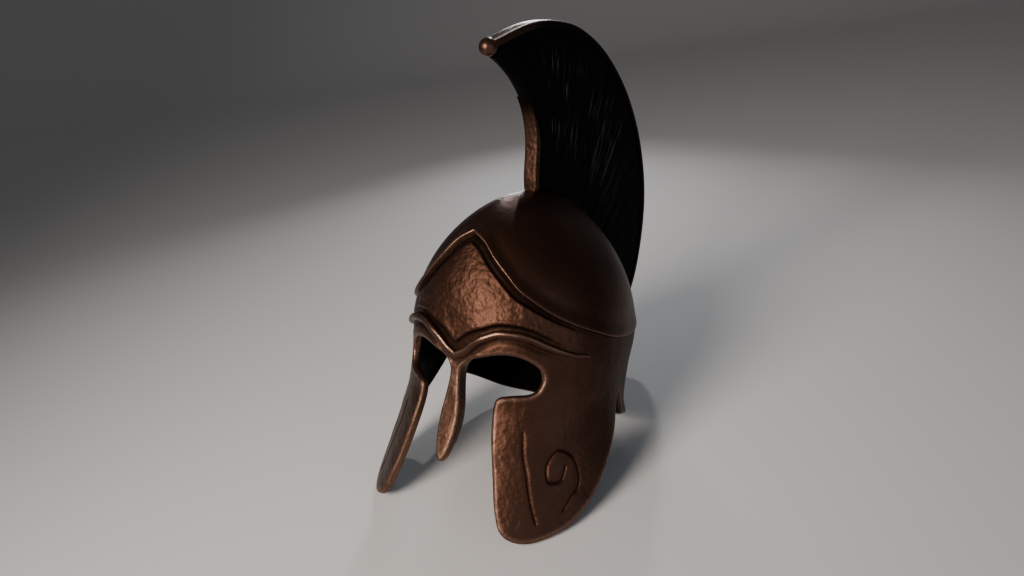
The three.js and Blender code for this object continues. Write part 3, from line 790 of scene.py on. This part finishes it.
def region(bottom, spacings, extra=None):
    """Triangles over the half face above a bottom path.

    Returns the points as (theta, z), the faces, and the rows of the border's bottom and top."""
    front, rear = spacings
    behind = np.arange(180, SEAM, -rear / PER_DEGREE)
    top_angles = np.r_[behind, np.arange(SEAM, 0, -front / PER_DEGREE), 0.0]
    top = np.stack([top_angles, lip_height(top_angles) - LIP_JOINT], 1)
    nape_steps = max(int((top[0, 1] - bottom[-1, 1]) / rear), 3)
    nape = np.linspace(bottom[-1], top[0], nape_steps + 1)[1:-1]
    brow_steps = max(int((top[-1, 1] - bottom[0, 1]) / front), 3)
    brow = np.linspace(top[-1], bottom[0], brow_steps + 1)[1:-1]
    border = np.concatenate([bottom, nape, top, brow]) * (PER_DEGREE, 1)
    low, high = border.min(0), border.max(0)
    split = SEAM * PER_DEGREE
    face_fill = lattice(low, (split, high[1]), front)
    fill = np.concatenate([face_fill, lattice((split + rear / 2, low[1]), high, rear)])
    if extra is not None:
        fill = fill[nearest(fill, extra[:, :2]) > front * 1.05]
        fill = np.concatenate([fill, extra])
    fill = fill[within(fill, border)]
    gap = np.where(fill[:, 0] < split, front, rear) * 0.62
    fill = fill[nearest(fill, border) > gap]
    flat = np.concatenate([border, fill])
    loop = list(range(len(border)))
    result = delaunay_2d_cdt([Vector(p) for p in flat], [], [loop], 1, 1e-5)
    source = np.array([ids[0] if ids else -1 for ids in result[3]])
    print("region:", len(flat), "points,", (source < 0).sum(), "crossings")
    faces = source[np.array([f for f in result[2] if len(f) == 3])]
    faces = faces[(faces >= 0).all(1)]
    top_row = len(bottom) + len(nape) + np.arange(len(top))
    return flat / (PER_DEGREE, 1), faces, np.arange(len(bottom)), top_row


def groove_points(paths, offsets, spacing):
    """Points in even rows beside each path, in the flat region, for a clean groove."""
    rows = []
    for path in paths:
        line = even(path, spacing) * (PER_DEGREE, 1)
        along = unit(np.gradient(line, axis=0))
        side = np.stack([-along[:, 1], along[:, 0]], 1)
        rows += [line + side * k for k in offsets]
    return np.concatenate(rows)


def middle_at_zero(points, theta):
    """Puts the points of the middle plane exactly on it."""
    points[(theta < 1e-6) | (theta > 180 - 1e-6), 0] = 0
    return points


rear = smoothstep(edge[:, 0], 88, 104)
radius = GUARD_EDGE * (1 - rear) + NECK_EDGE * rear
border_path = moved(edge, radius)
border_path[[0, -1], 0] = 0, 180
extra = groove_points(cuts, (-1.5, -0.9, -0.45, 0, 0.45, 0.9, 1.5), 0.9)
flat, faces, low_row, top_row = region(border_path, OUTER_SPACING, extra)
theta, z = flat.T
height, painted_shade, cast = relief(theta, z)
skin = middle_at_zero(head(theta, z, height + neck_relief(theta, z)), theta)
flat_in, faces_in, low_in, _ = region(border_path, INNER_SPACING)
theta_in, z_in = flat_in.T
inside = neck_relief(theta_in, z_in) - thickness(theta_in, z_in)
lining = middle_at_zero(head(theta_in, z_in, inside), theta_in)
_, _, inward = frame_of(edge)
roll = np.array(rolled_edge(skin[low_row], lining[low_in], -inward, radius[:, None]))
roll[:, [0, -1], 0] = 0
first = len(skin) + len(lining)
index = first + np.arange(roll.shape[0] * roll.shape[1]).reshape(roll.shape[:2])
lines = [low_row, *index, low_in + len(skin)]
quads = np.concatenate([strip(a, b) for a, b in zip(lines[:-1], lines[1:])])
under_lip = head(theta[top_row], z[top_row], -thickness(theta[top_row], z[top_row]))
under_lip[[0, -1], 0] = 0
last = first + roll.shape[0] * roll.shape[1]
quads = np.concatenate([quads, strip(top_row, last + np.arange(len(top_row)))])
points = np.concatenate([skin, lining, roll.reshape(-1, 3), under_lip])
rim = nearest(points, np.concatenate([skin[low_row], roll[3], roll[5]]))
wear_and_highlight = 0.4 * np.exp(-((rim / 1.5) ** 2))
wear_and_highlight[: len(skin)] += 0.16 * (1 - smoothstep(theta, 8, 10)) * (1 - smoothstep(z, -8, 2))
rest = len(points) - len(skin)
# the inside is painted dark as shade
painted_shade = np.concatenate([painted_shade, np.ones(len(lining)), np.zeros(rest - len(lining))])
cast = np.concatenate([cast, np.full(len(lining), 0.8), np.full(rest - len(lining), 0.3)])
groups = [np.concatenate([faces, faces_in[:, ::-1] + len(skin)]), quads]
points, groups, looks = mirror(points, groups, {"wear_and_highlight": wear_and_highlight, "painted_shade": painted_shade, "cast": cast})
piece("face_fine", points, groups, BRONZE, ["face_shell"], looks)

# %% [markdown]
# ## Sweeps
#
# The brow moulding, the crest's rim and its front band are sections carried along a curve. The moulding
# has a painted highlight along the ridge high on its face, and stands less proud at its V and at its
# ends.


# %% Sweeps
def sweep(at, across, out, section, scale):
    """Section points (u, v) at each station: at + u scale_u across + v scale_v out, with closed ends."""
    u, v = section[:, 0] * scale[:, :1], section[:, 1] * scale[:, 1:]
    rings = at[:, None] + across[:, None] * u[..., None] + out[:, None] * v[..., None]
    n, m = rings.shape[:2]
    points = np.concatenate([rings.reshape(-1, 3), rings[0].mean(0)[None], rings[-1].mean(0)[None]])
    ring = np.arange(m)
    follow = (ring + 1) % m
    first = np.stack([np.full(m, n * m), follow, ring], 1)
    last = np.stack([np.full(m, n * m + 1), (n - 1) * m + ring, (n - 1) * m + follow], 1)
    caps = np.concatenate([first, last])
    quads = grid(n, m, wrap=True)[:, ::-1]
    return points, quads, caps[:, ::-1]


def outward_facing(points, groups):
    """Turns all faces round if the enclosed volume comes out negative."""
    volume = 0.0
    for g in groups:
        for k in range(1, g.shape[1] - 1):
            a, b, c = points[g[:, 0]], points[g[:, k]], points[g[:, k + 1]]
            volume += np.einsum("ij,ij->i", a, np.cross(b, c)).sum()
    return groups if volume > 0 else [g[:, ::-1] for g in groups]


def plain_looks(points, wear_and_highlight, cast):
    """The same amount of wear and highlight, and of cast, at every point, and no painted shade."""
    n = len(points)
    return {"wear_and_highlight": np.full(n, wear_and_highlight), "painted_shade": np.zeros(n), "cast": np.full(n, cast)}


def upper_edge(angle, out=0.0):
    """Points of the moulding's upper edge, moved out from the head form."""
    return head(angle, CROWN_HEIGHT * moulding_share(np.abs(angle)), out)


# across and out, as shares of the moulding's height and stand
bead = [(0.0, -0.75), (0.0, 0.1), (-0.02, 0.42), (-0.08, 0.7), (-0.2, 0.9), (-0.36, 0.99), (-0.5, 1.0)]
bead += [(-0.66, 0.93), (-0.82, 0.75), (-0.94, 0.45), (-1.0, 0.1), (-1.0, -0.75)]
section = spline(bead)(np.linspace(0, 1, 41))
angle = np.linspace(-MOULDING_END, MOULDING_END, 321)
at = upper_edge(angle)
out = unit(upper_edge(angle, 1.0) - at)
along = unit(upper_edge(angle + 0.4) - upper_edge(angle - 0.4))
across = unit(np.cross(out, along))
across *= np.sign(across[:, 2:])
taper = 0.45 + 0.55 * (1 - smoothstep(np.abs(angle), MOULDING_END - 26, MOULDING_END))
proud = MOULDING_PROUD * taper * (0.45 + 0.55 * smoothstep(np.abs(angle), 3, 16))
points, quads, caps = sweep(at, across, out, section, np.stack([MOULDING_HEIGHT * taper, proud], 1))
groups = outward_facing(points, [quads, caps])
looks = plain_looks(points, wear_and_highlight=0.0, cast=0.15)
# painted highlight along the bead's upper ridge, on its outer face
ridge_highlight = 0.5 * np.exp(-(((section[:, 0] + 0.22) / 0.2) ** 2)) * (section[:, 1] > 0.5)
looks["wear_and_highlight"][: len(angle) * len(section)] = np.tile(ridge_highlight, len(angle))
piece("brow_moulding_fine", points, groups, BRIGHT, ["brow_moulding"], looks)

# %% [markdown]
# ## Crest
#
# The crest stands in the middle plane. Its strands fan from the crown to the outer edge, and the first
# ones bend along the front edge. Rim and band are sweeps along the outer and the front edge. Both are
# painted dark as shade where they leave the front: the rim's sides from the hook on and the whole rim
# towards the back, the band towards its top.

# %% Crest rim and front band
strands = np.array(STRANDS)
roots = spline(strands[:, :2] * (BACK_REACH, CROWN_HEIGHT))
tips = spline(strands[:, 2:] * (CREST_REACH, CREST_TOP))
front_edge = spline(np.array(FRONT_EDGE) * (CREST_REACH, CREST_TOP))


def inward_of(curve, t, step=1e-4):
    """Way across a curve of the middle plane, to the right of its run, as (y, z)."""
    along = unit(curve(np.clip(t + step, 0, 1)) - curve(np.clip(t - step, 0, 1)))
    return np.stack([along[:, 1], -along[:, 0]], 1)


def in_plane(yz):
    """Points or directions of the middle plane as (x, y, z)."""
    return np.concatenate([np.zeros((len(yz), 1)), yz], 1)


def band_section(power, count=33):
    """Half of a rounded oblong with a flat back: u = |sin w|^k / 2 with the sign of w, and
    v = 0.55 (1 - |cos w|^k), where k = 2 / power and w runs from -90 to 90 degrees."""
    w = np.linspace(-np.pi / 2, np.pi / 2, count)
    u = 0.5 * np.sign(w) * np.abs(np.sin(w)) ** (2 / power)
    v = 0.55 * (1 - np.abs(np.cos(w)) ** (2 / power))
    return np.concatenate([[(-0.5, 1.0)], np.stack([u, v], 1), [(0.5, 1.0)]])


def band_along(curve, t, section, scale):
    """A band along a curve of the middle plane, as wide as x and as deep as the way in from the curve."""
    across = np.tile([1.0, 0, 0], (len(t), 1))
    points, quads, caps = sweep(in_plane(curve(t)), across, in_plane(inward_of(curve, t)), section, scale)
    return points, outward_facing(points, [quads, caps])


t = np.linspace(0, 1, 520)
section = band_section(3.2)
points, groups = band_along(tips, t, section, np.tile([RIM_WIDTH, RIM_DEPTH], (len(t), 1)))
turn, tilt = np.meshgrid(np.linspace(0, 2 * np.pi, 49)[:-1], np.linspace(-np.pi / 2, np.pi / 2, 33))
ball = np.stack([np.cos(tilt) * np.cos(turn), np.cos(tilt) * np.sin(turn), np.sin(tilt)], -1)
ball = ball.reshape(-1, 3)
knob_at = np.array([0, *tips(0.0)]) - (0, 0, KNOB_DROP)
ball_quads = outward_facing(ball, [grid(33, 48, wrap=True)])[0] + len(points)
points = np.concatenate([points, knob_at + ball * KNOB_RADIUS])
looks = plain_looks(points, wear_and_highlight=0.12, cast=0.12)
# painted shade on the rim's sides from the hook on, and over the whole rim towards the back
back = smoothstep(t, 0.25, 0.5)[:, None]
sides = smoothstep(np.abs(section[:, 0]), 0.3, 0.47) * smoothstep(t, 0.03, 0.15)[:, None]
shade_paint = np.clip(sides + 0.7 * back, 0, 1)
looks["painted_shade"][: shade_paint.size] = 0.95 * shade_paint.ravel()
looks["wear_and_highlight"][: shade_paint.size] *= 1 - shade_paint.ravel()
piece("crest_rim_fine", points, [*groups, ball_quads], BRIGHT, ["crest_rim"], looks)

t = np.linspace(0.07, BAND_TOP, 160)
fade = 0.1 + 0.9 * (1 - smoothstep(t / BAND_TOP, 0.55, 1))
foot = np.sqrt(1 - (1 - np.clip((t - 0.066) / 0.03, 0, 1)) ** 2)
scale = np.stack([BAND_WIDTH * (0.78 + 0.12 * fade) * foot, BAND_DEPTH * fade], 1)
section = band_section(4.0)
points, groups = band_along(front_edge, t, section, scale)
looks = plain_looks(points, wear_and_highlight=0.06, cast=0.9)
# painted shade, darker towards the band's top
shade_paint = np.repeat(0.25 + 0.75 * smoothstep(t, 0.4, 0.57), len(section))
looks["painted_shade"][: shade_paint.size] = shade_paint
looks["wear_and_highlight"][: shade_paint.size] *= 1 - shade_paint
piece("crest_front_fine", points, groups, BRIGHT, ["crest_front_band"], looks)

# %% [markdown]
# ## Plume
#
# Each strand is a column of points from just under the crown's skin to the rim. With s from the front to
# the back and v from root to tip, the front strands are added the way from a straight strand to the front
# edge, by a share `bend` that falls off with s. At the tips that share is `quick`, so that the hair meets
# the rim right behind the knob. Broad locks and fine strands are added to the half thickness, on both
# faces, and a few strands of the front half, away from root and tip, get a painted highlight.

# %% Plume
ALONG = 40
COLUMNS = 1040
STEPS = 160
rng = np.random.default_rng(5)
s = np.linspace(0, 1, COLUMNS)
v = np.linspace(0, 1, STEPS + 1)
bend = np.maximum(1 - s * (len(STRANDS) - 1) / 3, 0) ** 2
quick = np.maximum(1 - s / 0.02, 0) ** 2
tip = tips(s) + inward_of(tips, s) * PLUME_UNDER_RIM
edge_path = front_edge(v)
edge_path[:, 0] += 0.3 + 2.2 * (1 - smoothstep(v, BAND_TOP - 0.08, BAND_TOP + 0.02))
root = roots(s)
yz = root[:, None] + (tip - root)[:, None] * v[:, None]
sink = (edge_path[-1] - tip[0]) * v[:, None] ** 6
yz += (edge_path - yz[0] - sink) * bend[:, None, None] + sink * quick[:, None, None]
y, z = yz[..., 0], yz[..., 1]
b = reaches(np.where(y > 0, 180.0, 0.0), np.minimum(z, CROWN_HEIGHT - 1e-3))[1]
outside = (np.abs(y) > b - ROOT_DEPTH) | (z > CROWN_HEIGHT - ROOT_DEPTH)
begin = v[np.argmax(outside, axis=1)]
share = begin[:, None] + (1 - begin[:, None]) * np.linspace(0, 1, ALONG)
row = np.arange(COLUMNS)[:, None]
lower = np.clip((share * STEPS).astype(int), 0, STEPS - 1)
weight = (share * STEPS - lower)[..., None]
yz = yz[row, lower] * (1 - weight) + yz[row, lower + 1] * weight


def streaks(count, rows):
    """Random heights on count strands x rows, drawn out smoothly to the columns and along them."""
    table = rng.random((count, rows))
    place = s * (count - 1)
    i = np.minimum(place.astype(int), count - 2)
    w = smoothstep(place - i, 0, 1)[:, None]
    wide = table[i] * (1 - w) + table[i + 1] * w
    along = np.linspace(0, rows - 1, ALONG)
    j = np.minimum(along.astype(int), rows - 2)
    w = smoothstep(along - j, 0, 1)
    return wide[:, j] * (1 - w) + wide[:, j + 1] * w


fine = streaks(300, 7)
strokes = streaks(400, 9)
locks = np.abs(np.sin(np.pi * LOCK_COUNT * s))[:, None] ** 0.7
rooted = smoothstep(share, 0.05, 0.3)
nose = np.sqrt(1 - (1 - np.minimum(s / 0.035, 1)) ** 2)[:, None]
half_width = PLUME_THICKNESS / 2 + 0.7 * LOCK_DEPTH * locks * rooted + 0.7 * (fine - 0.5)
half_width *= 0.25 + 0.75 * nose
# painted highlight on a few strands of the front half, away from root and tip
painted_strand_highlight = smoothstep(strokes, 0.62, 0.95) * smoothstep(fine, 0.3, 0.75)
painted_strand_highlight *= smoothstep(share, 0.25, 0.45) * (1 - smoothstep(share, 0.75, 0.92))
painted_strand_highlight *= (smoothstep(s, 0.06, 0.14) * (1 - 0.9 * smoothstep(s, 0.36, 0.52)))[:, None]
sheet = np.stack([half_width, yz[..., 0], yz[..., 1]], -1)
count = COLUMNS * ALONG
points = np.concatenate([sheet.reshape(-1, 3), (sheet * (-1, 1, 1)).reshape(-1, 3)])
face = grid(COLUMNS, ALONG)
index = np.arange(count).reshape(COLUMNS, ALONG)
sides = [strip(a, a + count) for a in (index[:, 0], index[::-1, -1], index[0, ::-1], index[-1])]
groups = outward_facing(points, [np.concatenate([face, face[:, ::-1] + count, *sides])])
looks = {"strand": np.tile(painted_strand_highlight.ravel(), 2)}
piece("crest_plume_fine", points, groups, HAIR, ["crest_plume"], looks, crease=1.2)

# %% [markdown]
# ## Floor, light and camera
#
# The camera looks at the helmet from the photograph's side: azimuth 35 degrees towards its left and 14
# degrees up in the helmet's own upright axes, leaned with it. The lights are placed by the same three
# directions: right, up and towards the camera. The key lights brow and cheek from the left, two lamps
# above and behind draw the crest's edge and the top of the crown, and a cool fill comes from the right.
# The floor is a sheet that rises in a round cove behind.


# %% Floor, light and camera
def leaned(v):
    """A direction of the upright helmet, leaned as it rests."""
    cos, sin = np.cos(LEAN), np.sin(LEAN)
    return np.array([v[0], v[1] * cos - v[2] * sin, v[1] * sin + v[2] * cos])


azimuth, elevation = np.radians(35), np.radians(14)
level = np.array([np.sin(azimuth), -np.cos(azimuth), 0])
towards = level * np.cos(elevation) + np.array([0, 0, np.sin(elevation)])
right = np.array([np.cos(azimuth), np.sin(azimuth), 0])
upward = np.cross(towards, right)
stand = towards * CAMERA_AWAY - right * CAMERA_LEFT + upward * CAMERA_UP - (0, 0, CAMERA_DROP)
right, upward, towards = leaned(right), leaned(upward), leaned(towards)
camera_data = bpy.data.cameras.new("camera")
camera_data.sensor_width = 36
camera_data.lens = 36 * FOCAL_LENGTH
camera = bpy.data.objects.new("camera", camera_data)
turned = np.stack([right, upward, towards, to_row(stand)], 1)
camera.matrix_world = Matrix([*turned.tolist(), [0, 0, 0, 1]])
bpy.context.scene.collection.objects.link(camera)
bpy.context.scene.camera = camera

ground = np.array([towards[0], towards[1], 0]) / np.hypot(towards[0], towards[1])
beside = np.array([-ground[1], ground[0], 0])
turn = np.linspace(0, np.pi / 2, 25)
run = np.concatenate([[4.0], -2.2 - 1.2 * np.sin(turn), [-3.4]])
lift = np.concatenate([[0.0], 1.2 - 1.2 * np.cos(turn), [5.0]])
middle_line = ground * run[:, None] + np.array([0, 0, 1.0]) * lift[:, None]
sheet = middle_line[:, None] + beside * np.array([-6.0, 6.0])[:, None]
floor_mesh = bpy.data.meshes.new("floor")
floor_mesh.from_pydata([tuple(p) for p in sheet.reshape(-1, 3)], [], grid(len(run), 2).tolist())
floor_mesh.shade_smooth()
paper, _, shader = shader_tree("pale paper")
shader.inputs["Base Color"].default_value = (0.7, 0.69, 0.68, 1)
shader.inputs["Roughness"].default_value = 0.9
floor_mesh.materials.append(paper)
floor = bpy.data.objects.new("floor", floor_mesh)
bpy.context.scene.collection.objects.link(floor)

world = bpy.data.worlds.new("soft studio")
world.use_nodes = True
world.node_tree.nodes["Background"].inputs["Color"].default_value = (0.72, 0.73, 0.75, 1)
world.node_tree.nodes["Background"].inputs["Strength"].default_value = 0.12
bpy.context.scene.world = world


def softbox(name, side, up, near, size, power, colour, spread=180):
    """An area light in a direction of the view, aimed at the helmet's middle."""
    middle = np.array([0, 0, 0.2])
    way = unit(right * side + upward * up + towards * near)
    data = bpy.data.lights.new(name, "AREA")
    data.shape, data.size, data.energy, data.color = "DISK", size, power, colour
    data.spread = np.radians(spread)
    lamp = bpy.data.objects.new(name, data)
    lamp.location = Vector(middle + way * LAMP_AWAY)
    lamp.rotation_euler = Vector(way).to_track_quat("Z", "Y").to_euler()
    bpy.context.scene.collection.objects.link(lamp)


softbox("key", -0.6, 0.03, 0.8, 0.7, 6.6, (1.0, 0.9, 0.82), 90)
softbox("rim", 0.1, 0.86, -0.5, 0.05, 0.9, (0.95, 0.97, 1.0), 90)
softbox("edge", 0.0, 0.55, -0.84, 0.25, 1.5, (0.95, 0.97, 1.0), 90)
softbox("fill", 0.55, -0.08, 0.83, 1.0, 2.4, (0.64, 0.8, 1.0))
print("camera at", [round(v, 3) for v in camera.matrix_world.translation])
